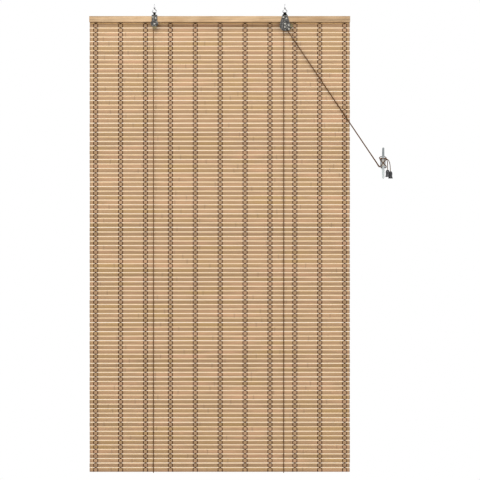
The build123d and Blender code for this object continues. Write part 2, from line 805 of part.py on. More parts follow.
# Each lift cord ends just past the guide post, where its pull cord goes on in the same line
wheel_radii = [wheel_pitch_radius - fit, wheel_pitch_radius - fit, post_arc]
hem_radii = [hem_radius, hem_radius]
knot_seat = knob_height - knob_cup_depth + air
for side, cord_x, wheel_y, axle_z, turn_points, knob_place in (
    ("left", cord_xs[0], front_wheel_y, lower_axle_z, left_turn_points,
     (left_knob_x, left_knob_y, left_knob_top)),
    ("right", cord_xs[1], rear_wheel_y, upper_axle_z, right_turn_points,
     (right_knob_x, right_knob_y, right_knob_top)),
):
    run_z = axle_z + wheel_pitch_radius
    over, under = lock_corners(axle_z, (turn_points[0][0], turn_points[0][2]))
    lift_route = [
        (cord_x, back_cord_y, -cord_end_drop),
        (cord_x, back_cord_y, hem_z),
        (cord_x, front_cord_y, hem_z),
        (cord_x, wheel_y, run_z),
        (over[0], wheel_y, run_z),
        (under[0], wheel_y, under[1]),
    ]
    bend = Vector(*lift_route[-1])
    taut_run = Vector(*turn_points[0]) - bend
    exit_point = tuple(bend + taut_run.normalized() * exit_run)
    print(side, "corners", [tuple(round(v, 2) for v in point) for point in lift_route + [exit_point]])
    lift_cord = cord(lift_route + [exit_point], hem_radii + wheel_radii)
    save(lift_cord, f"{side}_lift_cord")

    knob_x, knob_y, knob_top = knob_place
    knot_top = knob_top - knot_seat
    pull_route = [exit_point] + turn_points + [(knob_x, knob_y, knot_top)]
    pull_cord = cord(pull_route, free_radii(pull_route), knot_top)
    save(pull_cord, f"{side}_pull_cord")
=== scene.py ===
"""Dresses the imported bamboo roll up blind: slats, weave, cords, finishes, light and camera."""

import math

import bmesh
import bpy
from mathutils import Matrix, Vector


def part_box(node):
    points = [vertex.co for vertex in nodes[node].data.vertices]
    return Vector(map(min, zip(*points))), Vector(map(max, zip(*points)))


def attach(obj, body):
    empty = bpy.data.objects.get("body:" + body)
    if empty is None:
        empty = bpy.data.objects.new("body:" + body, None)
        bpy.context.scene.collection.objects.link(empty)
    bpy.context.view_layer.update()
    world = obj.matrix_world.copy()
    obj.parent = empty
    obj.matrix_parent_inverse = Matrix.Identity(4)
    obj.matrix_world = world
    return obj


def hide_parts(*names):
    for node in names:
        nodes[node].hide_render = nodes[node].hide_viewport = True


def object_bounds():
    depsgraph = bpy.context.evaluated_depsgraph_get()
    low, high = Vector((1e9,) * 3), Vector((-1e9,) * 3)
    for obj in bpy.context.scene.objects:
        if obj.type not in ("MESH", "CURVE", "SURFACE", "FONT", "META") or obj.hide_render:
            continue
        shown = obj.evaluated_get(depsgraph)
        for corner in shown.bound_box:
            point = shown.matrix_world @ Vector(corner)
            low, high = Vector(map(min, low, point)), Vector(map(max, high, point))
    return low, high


bl_info = {
    "name": "Bamboo Roll Up Blind",
    "version": (1, 0, 0),
    "blender": (4, 5, 0),
    "location": "View3D > Sidebar > Blind",
    "description": "Builds the slats, weave, cords and finishes of a bamboo roll up blind",
    "category": "Object",
}

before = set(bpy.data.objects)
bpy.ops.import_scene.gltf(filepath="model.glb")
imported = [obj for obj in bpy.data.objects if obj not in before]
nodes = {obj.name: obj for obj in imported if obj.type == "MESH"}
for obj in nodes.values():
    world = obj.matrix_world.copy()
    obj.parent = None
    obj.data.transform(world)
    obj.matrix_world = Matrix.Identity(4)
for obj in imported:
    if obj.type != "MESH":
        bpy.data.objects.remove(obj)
cad_low, cad_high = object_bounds()
mat_low, mat_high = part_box("slat_mat")
rail_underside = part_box("head_rail")[0].z
thread_columns = sorted(name for name in nodes if name.startswith("warp_thread_"))

MM = 0.001

# Pull cords: where they leave the lock, their turns round the cleat in mm, and their knots
LEFT_EXIT = (0.20978, 0.00119, -0.07260)
RIGHT_EXIT = (0.20949, 0.00655, -0.07219)
CLEAT_X, CLEAT_Z = 0.5016, -0.4763
LEFT_TURNS = (
    (-10.5, 8.3, -11.5),
    (8.0, 10.5, -15.5),
    (10.5, 4.0, -10.5),
    (6.5, -1.8, -6.5),
    (-6.5, -1.8, 6.5),
    (-10.5, 4.0, 10.5),
    (-8.0, 11.0, 15.5),
    (7.5, 10.5, 16.5),
    (13.0, 5.5, 8.0),
    (13.4, 1.8, -9.0),
)
RIGHT_TURNS = (
    (-19.3, 10.9, -0.7),
    (-12.3, 10.9, -13.1),
    (-9.5, -2.0, -10.0),
    (-5.0, -4.6, -5.5),
    (5.0, -4.6, 6.5),
    (10.5, 3.0, 12.5),
    (8.0, 14.0, 20.5),
    (-8.0, 14.4, 20.5),
    (-13.0, 7.0, 15.0),
    (-7.0, -3.6, 12.5),
    (6.0, -4.6, 14.0),
    (17.0, 3.0, 10.0),
    (22.9, 12.4, -8.0),
)
LEFT_END = (0.5150, 0.0018, -0.5108)
RIGHT_END = (0.5245, 0.0124, -0.5151)
LEFT_LENGTH, RIGHT_LENGTH = 0.636, 0.671
LEAD_IN = 12  # straight run at each end of the slanting part, in cord radii

# Knot: a ring of cord that crosses itself, in shares of the cord's radius
KNOT_POINTS = 24
KNOT_CORD, KNOT_REACH, KNOT_SWING, KNOT_DROP, KNOT_RISE = 0.9, 0.62, 0.42, 1.9, 0.9

# Slat: its rounded edges as depth from the face and distance from the edge
FRONT_EDGE = ((0.0009, 0.0), (0.0004, 0.0006), (0.00012, 0.0017), (0.0, 0.0034))
BACK_EDGE = ((0.0, 0.0005), (0.0003, 0.0))
SLAT_ENDS = ((0.0009, 0.0), (0.0003, 0.0003), (0.0, 0.0010))  # distance from the end, narrowing
SLAT_STATIONS, STRAIGHT_SHARE = 20, 0.97
PLAY_ROOM = 1.05  # room kept for the end play, so that no slat passes the mat's sides
SLAT_SETTLE, SLAT_TILT, SLAT_WAVE = 0.00005, 0.8, 0.0007  # metres, degrees, metres
SLAT_SEED = 11
WAVE_STRETCH = (4.0, 0.0, 31.0)

# Weave: columns by the photograph's spacing, and one tie as shares of spread and half pitch
COLUMN_PITCH, COLUMN_SHIFT = 0.07648, 0.0013
UPRIGHT_END, SLOPE_X, SLOPE_Z = 0.42, 0.48, 0.20
TIE_WIDTHS = (1.28, 1.0, 0.46, 1.5, 0.46, 1.0, 1.28)
OUTER_CROSSING, INNER_CROSSING = 0.0011, 0.0004
STRAND_SIDES = 5
STRAND_CLEARANCE = 0.0003
SAME_PLACE, END_BAND = 1e-6, 0.001

# Hardware: heads of the hanger screws from each hook's line, and how far painted shade reaches
# round heads
HOOK_LINES = (-0.2, 0.2)
SCREW_HEADS = ((-0.0043, -0.0292), (0.0043, -0.0325))
RIVET_SHADE_REACH, SCREW_SHADE_REACH = 0.0029, 0.0026
# Bands by height: painted shade on the hook collar and the hanger eye, painted highlight on the
# hook shank
COLLAR_SHADE_BAND, SHANK_HIGHLIGHT_BAND, EYE_SHADE_BAND = (-0.0032, -0.0002), (0.0004, 0.0130), (-0.0222, -0.0100)
BAND_EDGE = 0.0004

# Stage: the camera at the photograph's angle, lamps with place, target, width and power, and floor
CAMERA_PLACE, CAMERA_LENS, SENSOR_WIDTH = (0.0622, -6.9515, -0.7122), 170.0, 36.0
LAMPS = (
    ("key", (-1.3, -2.6, 1.6), (0.0, 0.0, -0.6), 2.2, 74.0),
    ("fill", (2.0, -2.4, 0.3), (0.0, 0.0, -0.7), 2.2, 26.0),
    ("rear", (0.4, 2.6, 1.2), (0.0, 0.0, -0.7), 2.0, 30.0),
)
ROOM_LIGHT = 0.55
FLOOR_DROP = 0.27
FLOOR_X, FLOOR_Y = (-1.6, 1.8), (-2.0, 0.85)
FLOOR_COLOUR = (0.86, 0.86, 0.85, 1.0)


def paint(red, green, blue):
    """A colour written as 0 to 255 screen values, as the linear colour that shaders take."""
    shares = (red / 255, green / 255, blue / 255)
    return tuple(c / 12.92 if c <= 0.04045 else ((c + 0.055) / 1.055) ** 2.4 for c in shares)


class BlindSizes(bpy.types.PropertyGroup):
    """Sizes that a user may change."""

    slat_count: bpy.props.IntProperty(
        name="Slats",
        description="Number of slats in the mat",
        default=100,
        min=2,
    )
    slat_pitch: bpy.props.FloatProperty(
        name="Slat Pitch",
        description="Distance from one slat to the next",
        default=0.01392,
        unit="LENGTH",
    )
    slat_height: bpy.props.FloatProperty(
        name="Slat Height",
        description="Height of one slat",
        default=0.0130,
        unit="LENGTH",
    )
    slat_thickness: bpy.props.FloatProperty(
        name="Slat Thickness",
        description="Thickness of one slat",
        default=0.0018,
        unit="LENGTH",
    )
    end_play: bpy.props.FloatProperty(
        name="End Play",
        description="How far slat ends stand in and out of line",
        default=0.0004,
        unit="LENGTH",
    )
    strand_spread: bpy.props.FloatProperty(
        name="Strand Spread",
        description="From a thread column's middle to a strand",
        default=0.0064,
        unit="LENGTH",
    )
    strand_width: bpy.props.FloatProperty(
        name="Strand Width",
        description="Width of one strand of thread",
        default=0.0022,
        unit="LENGTH",
    )
    strand_depth: bpy.props.FloatProperty(
        name="Strand Depth",
        description="Thickness of one strand of thread",
        default=0.0008,
        unit="LENGTH",
    )
    cord_radius: bpy.props.FloatProperty(
        name="Cord Radius",
        description="Half the thickness of a cord",
        default=0.0012,
        unit="LENGTH",
    )


class BlindColours(bpy.types.PropertyGroup):
    """Colours that a user may change."""

    bamboo_light: bpy.props.FloatVectorProperty(
        name="Bamboo Light",
        description="Pale bands of the bamboo",
        subtype="COLOR",
        default=paint(180, 149, 115),
    )
    bamboo_dark: bpy.props.FloatVectorProperty(
        name="Bamboo Dark",
        description="Brown bands of the bamboo",
        subtype="COLOR",
        default=paint(156, 121, 87),
    )
    # Pale cut edges, partly a painted highlight along the long edges of the slats
    bamboo_edge_and_highlight: bpy.props.FloatVectorProperty(
        name="Bamboo Edge",
        description="Pale cut edges of the slats",
        subtype="COLOR",
        default=paint(230, 193, 136),
    )
    rail_wood: bpy.props.FloatVectorProperty(
        name="Rail Wood",
        description="Wood of the head rail",
        subtype="COLOR",
        default=paint(204, 172, 133),
    )
    thread: bpy.props.FloatVectorProperty(
        name="Thread",
        description="Warp thread",
        subtype="COLOR",
        default=paint(78, 36, 4),
    )
    cord: bpy.props.FloatVectorProperty(
        name="Cord",
        description="Lift and pull cords",
        subtype="COLOR",
        default=paint(100, 68, 38),
    )
    steel: bpy.props.FloatVectorProperty(
        name="Hanger Steel",
        description="Hanger plates",
        subtype="COLOR",
        default=paint(80, 78, 76),
    )
    brass: bpy.props.FloatVectorProperty(
        name="Aged Brass",
        description="Yoke, cam and wheels",
        subtype="COLOR",
        default=paint(124, 112, 84),
    )
    plated: bpy.props.FloatVectorProperty(
        name="Plated Metal",
        description="Rivets, screws and staples",
        subtype="COLOR",
        default=paint(190, 186, 176),
    )
    cleat: bpy.props.FloatVectorProperty(
        name="Cleat Metal",
        description="Cord cleat",
        subtype="COLOR",
        default=paint(166, 169, 170),
    )
    knob: bpy.props.FloatVectorProperty(
        name="Knob",
        description="Cord knobs",
        subtype="COLOR",
        default=paint(40, 40, 42),
    )


def sizes():
    """The scene's sizes."""
    return bpy.context.scene.blind_sizes


def colours():
    """The scene's colours."""
    return bpy.context.scene.blind_colours


def shade(colour, share):
    """A colour made darker or lighter."""
    return tuple(c * share for c in colour)


def put(tree, kind, **settings):
    """Adds a node and sets its options."""
    node = tree.nodes.new(kind)
    for key, value in settings.items():
        setattr(node, key, value)
    return node


def join(tree, source, target):
    """Links one socket to another."""
    tree.links.new(source, target)


def fill(tree, socket, value):
    """Links a socket, or sets it to a number or a colour."""
    if isinstance(value, bpy.types.NodeSocket):
        join(tree, value, socket)
    elif isinstance(value, tuple):
        socket.default_value = (*value, 1.0)
    else:
        socket.default_value = value


def new_finish(name):
    """A fresh material with its node tree and its shader."""
    finish = bpy.data.materials.new(name)
    finish.use_nodes = True
    tree = finish.node_tree
    return finish, tree, tree.nodes["Principled BSDF"]


def object_point(tree):
    """Plain Object coordinates."""
    return put(tree, "ShaderNodeTexCoord").outputs["Object"]


def object_axes(tree):
    """Object coordinates, taken apart."""
    axes = put(tree, "ShaderNodeSeparateXYZ")
    join(tree, object_point(tree), axes.inputs["Vector"])
    return axes.outputs


def object_place(tree, stretch=(1.0, 1.0, 1.0), shift=None):
    """Object coordinates, stretched, with an optional shift taken from another socket."""
    place = object_point(tree)
    if shift is not None:
        moved = put(tree, "ShaderNodeVectorMath", operation="ADD")
        join(tree, place, moved.inputs[0])
        join(tree, shift, moved.inputs[1])
        place = moved.outputs["Vector"]
    mapping = put(tree, "ShaderNodeMapping")
    mapping.inputs["Scale"].default_value = stretch
    join(tree, place, mapping.inputs["Vector"])
    return mapping.outputs["Vector"]


def noise(tree, place, scale, detail=4.0, roughness=0.55):
    """Cloudy noise from 0 to 1."""
    node = put(tree, "ShaderNodeTexNoise")
    node.inputs["Scale"].default_value = scale
    node.inputs["Detail"].default_value = detail
    node.inputs["Roughness"].default_value = roughness
    join(tree, place, node.inputs["Vector"])
    return node.outputs["Fac"]


def ramp(tree, factor, stops):
    """A colour ramp with stops of place and colour."""
    node = put(tree, "ShaderNodeValToRGB")
    while len(node.color_ramp.elements) < len(stops):
        node.color_ramp.elements.new(0.5)
    for element, (place, colour) in zip(node.color_ramp.elements, stops):
        element.position = place
        element.color = (*colour, 1.0)
    join(tree, factor, node.inputs["Fac"])
    return node.outputs["Color"]


def blend_colours(tree, kind, factor, first, second):
    """Mixes two colours, each given as a socket or a colour."""
    node = put(tree, "ShaderNodeMix", data_type="RGBA", blend_type=kind)
    fill(tree, node.inputs[0], factor)
    fill(tree, node.inputs[6], first)
    fill(tree, node.inputs[7], second)
    return node.outputs[2]


def spread(tree, value, given, wanted):
    """Maps a given range of values to the wanted range, held at both ends."""
    node = put(tree, "ShaderNodeMapRange")
    join(tree, value, node.inputs["Value"])
    node.inputs["From Min"].default_value, node.inputs["From Max"].default_value = given
    node.inputs["To Min"].default_value, node.inputs["To Max"].default_value = wanted
    return node.outputs["Result"]


def count(tree, operation, *values):
    """One step of arithmetic on sockets and numbers."""
    node = put(tree, "ShaderNodeMath", operation=operation)
    for socket, value in zip(node.inputs, values):
        fill(tree, socket, value)
    return node.outputs["Value"]


def raise_grain(tree, shader, height, depth, strength=0.6):
    """Fine relief that follows a pattern."""
    bump = put(tree, "ShaderNodeBump")
    bump.inputs["Distance"].default_value = depth
    bump.inputs["Strength"].default_value = strength
    join(tree, height, bump.inputs["Height"])
    join(tree, bump.outputs["Normal"], shader.inputs["Normal"])


def bamboo_finish():
    """Split bamboo: long fibres, patches of tint along each slat, and joints of the cane."""
    finish, tree, shader = new_finish("split_bamboo")
    light, dark = tuple(colours().bamboo_light), tuple(colours().bamboo_dark)
    own = put(tree, "ShaderNodeAttribute", attribute_name="slat_tint").outputs["Fac"]
    across = put(tree, "ShaderNodeAttribute", attribute_name="slat_across").outputs["Fac"]
    axes = object_axes(tree)

    # Fibres and patches, moved for each slat by its own number
    shift = put(tree, "ShaderNodeCombineXYZ")
    join(tree, count(tree, "MULTIPLY", own, 7.3), shift.inputs["X"])
    join(tree, count(tree, "MULTIPLY", own, 3.1), shift.inputs["Z"])
    along_grain = object_place(tree, (6.0, 120.0, 420.0), shift.outputs["Vector"])
    along_slat = object_place(tree, (5.0, 1.0, 30.0), shift.outputs["Vector"])
    fibres = noise(tree, along_grain, scale=3.0, detail=5.0, roughness=0.6)
    patches = noise(tree, along_slat, scale=1.0, detail=2.0)
    body = ramp(tree, fibres, ((0.30, dark), (0.68, light)))
    rosy = blend_colours(tree, "MIX", 0.5, light, paint(206, 154, 120))
    sallow = blend_colours(tree, "MIX", 0.5, dark, paint(188, 156, 98))
    rosy_share = spread(tree, patches, (0.5, 0.68), (0.0, 0.8))
    sallow_share = spread(tree, patches, (0.5, 0.32), (0.0, 0.75))
    body = blend_colours(tree, "MIX", rosy_share, body, rosy)
    body = blend_colours(tree, "MIX", sallow_share, body, sallow)

    # Each slat a little lighter or darker, and painted shade on its lower half
    tone = spread(tree, own, (0.0, 1.0), (0.88, 1.10))
    grey = put(tree, "ShaderNodeCombineColor")
    for channel in grey.inputs:
        join(tree, tone, channel)
    body = blend_colours(tree, "MULTIPLY", 1.0, body, grey.outputs["Color"])
    # Painted shade: the lower half of each slat is made darker
    lower = spread(tree, across, (-0.1, -0.5), (0.0, 1.0))
    body = blend_colours(tree, "MULTIPLY", lower, body, paint(246, 243, 240))

    # Pale cut long edges with a painted highlight, none at the hem where no light falls, and dark
    # cut ends
    edge = spread(tree, count(tree, "ABSOLUTE", across), (0.66, 0.88), (0.0, 1.0))
    hem = spread(tree, axes["Z"], (mat_low.z + 0.002, mat_low.z + 0.006), (0.0, 1.0))
    edge = count(tree, "MULTIPLY", edge, hem)
    body = blend_colours(tree, "MIX", edge, body, tuple(colours().bamboo_edge_and_highlight))
    sideways = count(tree, "ABSOLUTE", axes["X"])
    tip = spread(tree, sideways, (mat_high.x - 0.006, mat_high.x), (0.0, 0.5))
    body = blend_colours(tree, "MIX", tip, body, shade(dark, 0.5))

    # Joints of the cane, at places that differ from slat to slat
    along = count(tree, "MULTIPLY_ADD", axes["X"], 3.4, count(tree, "MULTIPLY", own, 11.0))
    from_joint = count(tree, "SUBTRACT", count(tree, "FRACT", along), 0.5)
    joint = spread(tree, count(tree, "ABSOLUTE", from_joint), (0.0, 0.009), (0.45, 0.0))
    body = blend_colours(tree, "MIX", joint, body, shade(dark, 0.55))

    join(tree, body, shader.inputs["Base Color"])
    join(tree, spread(tree, fibres, (0.3, 0.7), (0.62, 0.46)), shader.inputs["Roughness"])
    shader.inputs["Specular IOR Level"].default_value = 0.35
    raise_grain(tree, shader, fibres, depth=0.00025)
    return finish


def rail_finish():
    """Planed pale wood with lengthwise grain, browner towards the right."""
    finish, tree, shader = new_finish("planed_rail_wood")
    base = tuple(colours().rail_wood)
    lengthwise = object_place(tree, (3.0, 60.0, 85.0))
    grain = noise(tree, lengthwise, scale=2.0, detail=6.0, roughness=0.66)
    broad = noise(tree, object_place(tree, (14.0, 20.0, 40.0)), scale=1.0, detail=3.0)
    stops = ((0.28, shade(base, 0.62)), (0.5, base), (0.75, shade(base, 1.16)))
    body = ramp(tree, grain, stops)
    figure = spread(tree, broad, (0.4, 0.62), (0.0, 1.0))
    body = blend_colours(tree, "MULTIPLY", figure, body, paint(237, 231, 222))
    heart = spread(tree, object_axes(tree)["X"], (0.05, 0.3), (0.0, 1.0))
    body = blend_colours(tree, "MULTIPLY", heart, body, paint(237, 236, 236))
    join(tree, body, shader.inputs["Base Color"])
    join(tree, spread(tree, grain, (0.3, 0.7), (0.55, 0.4)), shader.inputs["Roughness"])
    shader.inputs["Specular IOR Level"].default_value = 0.35
    raise_grain(tree, shader, grain, depth=0.0003)
    return finish


def thread_finish():
    """Twisted thread, with painted shade in the folds of its ply and painted highlight on its
    crests.
    """
    finish, tree, shader = new_finish("twisted_thread")
    base = tuple(colours().thread)
    ply = put(tree, "ShaderNodeTexWave", wave_type="BANDS", bands_direction="DIAGONAL")
    ply.inputs["Scale"].default_value = 900.0
    ply.inputs["Distortion"].default_value = 1.5
    join(tree, object_point(tree), ply.inputs["Vector"])
    # Painted shade in the folds of the ply and painted highlight on its crests
    stops = ((0.1, shade(base, 0.6)), (0.7, base), (1.0, shade(base, 1.25)))
    body = ramp(tree, ply.outputs["Fac"], stops)
    fuzz = noise(tree, object_place(tree), scale=90.0, detail=2.0)
    faded = spread(tree, fuzz, (0.4, 0.7), (0.0, 0.5))
    body = blend_colours(tree, "MULTIPLY", faded, body, paint(205, 190, 170))
    join(tree, body, shader.inputs["Base Color"])
    shader.inputs["Roughness"].default_value = 0.95
    shader.inputs["Specular IOR Level"].default_value = 0.08
    raise_grain(tree, shader, ply.outputs["Fac"], depth=0.0002)
    return finish


def cord_finish():
    """Braided cord: two crossing sets of plaits, with painted shade between them and painted
    highlight on them.
    """
    finish, tree, shader = new_finish("braided_cord")
    base = tuple(colours().cord)
    plaits = []
    for turn in (0.9, -0.9):
        mapping = put(tree, "ShaderNodeMapping")
        mapping.inputs["Rotation"].default_value = (0.0, turn, turn)
        join(tree, object_point(tree), mapping.inputs["Vector"])
        wave = put(tree, "ShaderNodeTexWave", wave_type="BANDS", bands_direction="Z")
        wave.inputs["Scale"].default_value = 420.0
        wave.inputs["Distortion"].default_value = 0.6
        join(tree, mapping.outputs["Vector"], wave.inputs["Vector"])
        plaits.append(wave.outputs["Fac"])
    braid = count(tree, "MAXIMUM", *plaits)
    # Painted shade between the plaits and painted highlight on them
    stops = ((0.25, shade(base, 0.72)), (0.75, base), (1.0, shade(base, 1.12)))
    join(tree, ramp(tree, braid, stops), shader.inputs["Base Color"])
    shader.inputs["Roughness"].default_value = 0.85
    shader.inputs["Specular IOR Level"].default_value = 0.2
    raise_grain(tree, shader, braid, depth=0.0003)
    return finish


def metal_finish(name, colour, gloss, stain, rings=(), shade_and_highlight_bands=(), painted_reflection_fades=(), pale_patches=None):
    """Scratched metal with a stain and, where given, painted shade round heads, pale patches, and
    bands of painted shade and highlight and fades of painted reflection by height.
    """
    finish, tree, shader = new_finish(name)
    fine = object_place(tree, (240.0, 240.0, 900.0))
    scratches = noise(tree, fine, scale=1.0, detail=5.0, roughness=0.7)
    clouds = noise(tree, object_place(tree), scale=130.0, detail=3.0)
    stops = ((0.36, stain), (0.52, colour), (0.72, shade(colour, 1.25)))
    body = ramp(tree, clouds, stops)
    flat = object_place(tree, (1.0, 0.0, 1.0))
    # Painted shade round the heads of rivets and screws
    for x, z, radius in rings:
        reach = put(tree, "ShaderNodeVectorMath", operation="DISTANCE")
        reach.inputs[1].default_value = (x, 0.0, z)
        join(tree, flat, reach.inputs[0])
        head_shade = spread(tree, reach.outputs["Value"], (radius, radius * 1.75), (0.8, 0.0))
        body = blend_colours(tree, "MIX", head_shade, body, shade(stain, 0.35))
    # Pale patches, where given
    if pale_patches is not None:
        patches = noise(tree, object_place(tree), scale=300.0, detail=3.0, roughness=0.6)
        pale_share = spread(tree, patches, (0.5, 0.74), (0.0, 0.75))
        body = blend_colours(tree, "MIX", pale_share, body, pale_patches)
    height = object_axes(tree)["Z"]
    # Bands of painted shade and painted highlight by height
    for (low, high), tint in shade_and_highlight_bands:
        above = spread(tree, height, (low - BAND_EDGE, low), (0.0, 1.0))
        below = spread(tree, height, (high, high + BAND_EDGE), (1.0, 0.0))
        inside = count(tree, "MINIMUM", above, below)
        body = blend_colours(tree, "MIX", inside, body, tint)
    # Painted reflections fading in by height
    for reach, tint in painted_reflection_fades:
        share = spread(tree, height, reach, (0.0, 0.85))
        body = blend_colours(tree, "MIX", share, body, tint)
    join(tree, body, shader.inputs["Base Color"])
    shader.inputs["Metallic"].default_value = 1.0
    join(tree, spread(tree, scratches, (0.3, 0.7), gloss), shader.inputs["Roughness"])
    raise_grain(tree, shader, scratches, depth=0.00005, strength=0.25)
    return finish


def knob_finish():
    """Black moulded plastic with a faint moulded texture."""
    finish, tree, shader = new_finish("moulded_knob_plastic")
    base = tuple(colours().knob)
    pores = noise(tree, object_place(tree), scale=900.0, detail=2.0)
    # Lighter mottled patches, which also set the roughness
    knob_mottle = noise(tree, object_place(tree), scale=160.0, detail=3.0)
    body = ramp(tree, knob_mottle, ((0.35, base), (0.75, shade(base, 1.7))))
    join(tree, body, shader.inputs["Base Color"])
    shader.inputs["Specular IOR Level"].default_value = 0.5
    join(tree, spread(tree, knob_mottle, (0.3, 0.7), (0.2, 0.34)), shader.inputs["Roughness"])
    raise_grain(tree, shader, pores, depth=0.00006, strength=0.3)
    return finish


def dress(finish, *names):
    """Gives CAD nodes a finish."""
    for name in names:
        mesh = nodes[name].data
        mesh.materials.clear()
        mesh.materials.append(finish)


def place_piece(name, data):
    """Puts a mesh or a curve into the scene, at the origin."""
    piece = bpy.data.objects.new(name, data)
    bpy.context.scene.collection.objects.link(piece)
    return piece


def plain_mesh(piece):
    """The piece as it looks with its modifiers or its bevel, as a mesh."""
    bpy.context.view_layer.update()
    graph = bpy.context.evaluated_depsgraph_get()
    return bpy.data.meshes.new_from_object(piece.evaluated_get(graph), depsgraph=graph)


def repeat_piece(name, shape, tree, values):
    """Repeats a shape by a node tree with these inputs, and keeps the result as a plain mesh."""
    piece = place_piece(name, shape)
    modifier = piece.modifiers.new("repeat", "NODES")
    modifier.node_group = tree
    for item in tree.interface.items_tree:
        if item.item_type == "SOCKET" and item.in_out == "INPUT" and item.name in values:
            modifier[item.identifier] = values[item.name]
    mesh = plain_mesh(piece)
    piece.modifiers.remove(modifier)
    piece.data = mesh
    bpy.data.meshes.remove(shape)
    mesh.name = name
    return piece


def either_way(tree, reach, seed):
    """A random vector for each copy, up to the reach to either side."""
    back = put(tree, "ShaderNodeVectorMath", operation="SCALE")
    back.inputs["Scale"].default_value = -1.0
    join(tree, reach, back.inputs[0])
    chance = put(tree, "FunctionNodeRandomValue", data_type="FLOAT_VECTOR")
    join(tree, back.outputs["Vector"], chance.inputs["Min"])
    join(tree, reach, chance.inputs["Max"])
    join(tree, seed, chance.inputs["Seed"])
    return chance.outputs["Value"]


def repeat_tree(name, attribute=None):
    """A node tree that repeats a shape down a line, each copy with play and a number of its own."""
    tree = bpy.data.node_groups.new(name, "GeometryNodeTree")
    inputs = (
        ("Geometry", "NodeSocketGeometry", None),
        ("Count", "NodeSocketInt", 10),
        ("Start", "NodeSocketVector", None),
        ("Step", "NodeSocketVector", None),
        ("Play", "NodeSocketVector", None),
        ("Turn", "NodeSocketVector", None),
        ("First Drop", "NodeSocketFloat", 0.0),
        ("Wave", "NodeSocketFloat", 0.0),
        ("Top", "NodeSocketFloat", 10.0),
        ("Bottom", "NodeSocketFloat", -10.0),
        ("Seed", "NodeSocketInt", 1),
        ("Finish", "NodeSocketMaterial", None),
    )
    for label, kind, default in inputs:
        socket = tree.interface.new_socket(name=label, in_out="INPUT", socket_type=kind)
        if default is not None:
            socket.default_value = default
    tree.interface.new_socket(
        name="Geometry", in_out="OUTPUT", socket_type="NodeSocketGeometry"
    )
    given = put(tree, "NodeGroupInput").outputs

    # A line of places, each a little out of its own, with the first one lowered
    line = put(tree, "GeometryNodeMeshLine", mode="OFFSET")
    join(tree, given["Count"], line.inputs["Count"])
    join(tree, given["Start"], line.inputs["Start Location"])
    join(tree, given["Step"], line.inputs["Offset"])
    nudged = put(tree, "GeometryNodeSetPosition")
    join(tree, line.outputs["Mesh"], nudged.inputs["Geometry"])
    join(tree, either_way(tree, given["Play"], given["Seed"]), nudged.inputs["Offset"])
    first = put(tree, "FunctionNodeCompare", data_type="INT", operation="EQUAL")
    join(tree, put(tree, "GeometryNodeInputIndex").outputs["Index"], first.inputs[2])
    drop = put(tree, "ShaderNodeCombineXYZ")
    join(tree, count(tree, "MULTIPLY", given["First Drop"], -1.0), drop.inputs["Z"])
    lowered = put(tree, "GeometryNodeSetPosition")
    join(tree, nudged.outputs["Geometry"], lowered.inputs["Geometry"])
    join(tree, first.outputs["Result"], lowered.inputs["Selection"])
    join(tree, drop.outputs["Vector"], lowered.inputs["Offset"])

    # The shape at each place, slightly turned, with a number of its own where one is asked for
    copies = put(tree, "GeometryNodeInstanceOnPoints")
    join(tree, lowered.outputs["Geometry"], copies.inputs["Points"])
    join(tree, given["Geometry"], copies.inputs["Instance"])
    join(tree, either_way(tree, given["Turn"], given["Seed"]), copies.inputs["Rotation"])
    marked = copies.outputs["Instances"]
    if attribute is not None:
        own = put(tree, "FunctionNodeRandomValue", data_type="FLOAT")
        join(tree, given["Seed"], own.inputs["Seed"])
        store = put(tree, "GeometryNodeStoreNamedAttribute", data_type="FLOAT")
        store.domain = "INSTANCE"
        store.inputs["Name"].default_value = attribute
        join(tree, marked, store.inputs["Geometry"])
        join(tree, own.outputs[1], store.inputs["Value"])
        marked = store.outputs["Geometry"]
    real = put(tree, "GeometryNodeRealizeInstances")
    join(tree, marked, real.inputs["Geometry"])

    # Long waves up and down, held between the bottom and the top
    point = put(tree, "GeometryNodeInputPosition").outputs["Position"]
    stretched = put(tree, "ShaderNodeVectorMath", operation="MULTIPLY")
    stretched.inputs[1].default_value = WAVE_STRETCH
    join(tree, point, stretched.inputs[0])
    waves = put(tree, "ShaderNodeTexNoise")
    waves.inputs["Scale"].default_value = 1.0
    waves.inputs["Detail"].default_value = 1.0
    join(tree, stretched.outputs["Vector"], waves.inputs["Vector"])
    level = count(tree, "SUBTRACT", waves.outputs["Fac"], 0.5)
    axes = put(tree, "ShaderNodeSeparateXYZ")
    join(tree, point, axes.inputs["Vector"])
    lift = count(tree, "MULTIPLY", level, given["Wave"])
    height = count(tree, "ADD", axes.outputs["Z"], lift)
    height = count(tree, "MAXIMUM", height, given["Bottom"])
    height = count(tree, "MINIMUM", height, given["Top"])
    settled = put(tree, "ShaderNodeCombineXYZ")
    join(tree, axes.outputs["X"], settled.inputs["X"])
    join(tree, axes.outputs["Y"], settled.inputs["Y"])
    join(tree, height, settled.inputs["Z"])
    waved = put(tree, "GeometryNodeSetPosition")
    join(tree, real.outputs["Geometry"], waved.inputs["Geometry"])
    join(tree, settled.outputs["Vector"], waved.inputs["Position"])
    dressed = put(tree, "GeometryNodeSetMaterial")
    join(tree, waved.outputs["Geometry"], dressed.inputs["Geometry"])
    join(tree, given["Finish"], dressed.inputs["Material"])
    join(tree, dressed.outputs["Geometry"], put(tree, "NodeGroupOutput").inputs["Geometry"])
    return tree


def skin_rings(shell, rings):
    """Joins neighbouring rings of corners with faces."""
    for first, second in zip(rings, rings[1:]):
        for index in range(len(first)):
            after = (index + 1) % len(first)
            shell.faces.new((first[index], first[after], second[after], second[index]))


